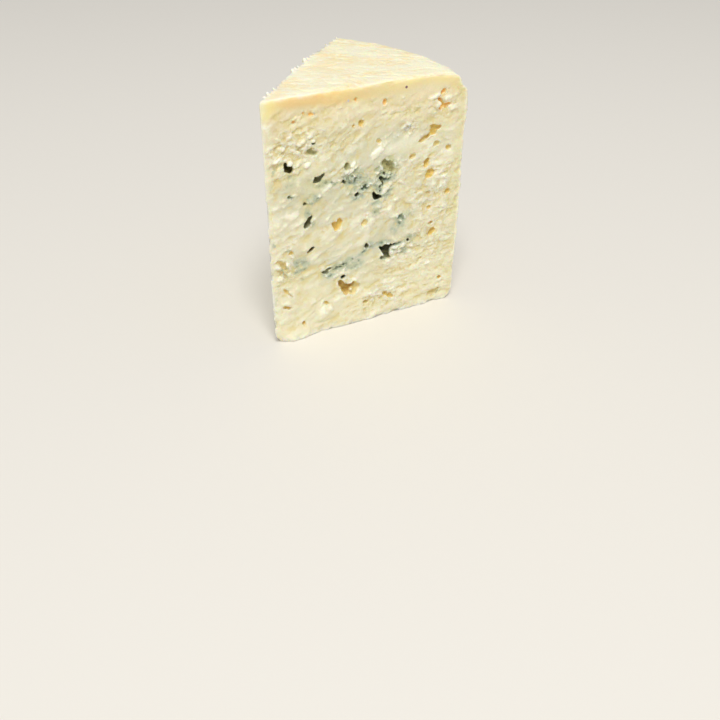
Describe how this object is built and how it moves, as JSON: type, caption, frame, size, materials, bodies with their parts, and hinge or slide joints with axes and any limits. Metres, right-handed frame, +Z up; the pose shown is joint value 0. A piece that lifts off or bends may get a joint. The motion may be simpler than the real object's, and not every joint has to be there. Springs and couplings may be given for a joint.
{
  "type": "blue cheese wedge",
  "caption": "Thick wedge of blue cheese cut from a tall wheel, with open ripening holes in both cut faces and a thin pale rind, standing on its flat base.",
  "frame": {"origin": "on the flat base, under the middle of the wedge's bounding box", "axes": "+Z up from the base; -Y out of the first cut face; +X from the tip towards the curved side"},
  "size_m": [0.0792, 0.058, 0.0954],
  "materials": {
    "paste": "soft cream paste, slightly moist, with blue-green mould, golden and dark holes, and a thin pale rind"
  },
  "bodies": {
    "root": {"cheese_wedge": "paste"}
  },
  "joints": []
}
